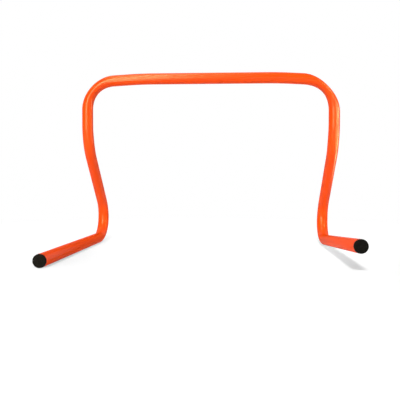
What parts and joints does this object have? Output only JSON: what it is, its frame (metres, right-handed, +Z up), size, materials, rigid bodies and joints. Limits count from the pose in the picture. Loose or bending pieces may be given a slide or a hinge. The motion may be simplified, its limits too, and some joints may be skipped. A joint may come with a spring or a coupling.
{
  "type": "speed hurdle",
  "caption": "Low speed hurdle for agility drills, bent from a single plastic tube into a crossbar, back-leaning legs and long floor feet, with push-in plugs closing the tube's ends.",
  "frame": {"origin": "on the floor, under the middle of the bounding box", "axes": "+X along the crossbar to the right, +Z up, the feet point to -Y"},
  "size_m": [0.448, 0.3634, 0.305],
  "materials": {
    "orange_tube": "satin extruded PVC, coloured through",
    "black_plug": "fine moulded grain"
  },
  "bodies": {
    "frame": {"hurdle_tube": "orange_tube"},
    "left_plug": {"left_end_plug": "black_plug"},
    "right_plug": {"right_end_plug": "black_plug"}
  },
  "joints": [
    {"name": "left_plug_pull", "type": "slide", "parent": "frame", "child": "left_plug", "axis": [0, -1, 0], "range_m": [0, 0.02]},
    {"name": "right_plug_pull", "type": "slide", "parent": "frame", "child": "right_plug", "axis": [-0.0209, -0.9968, 0.0767], "range_m": [0, 0.02]}
  ]
}
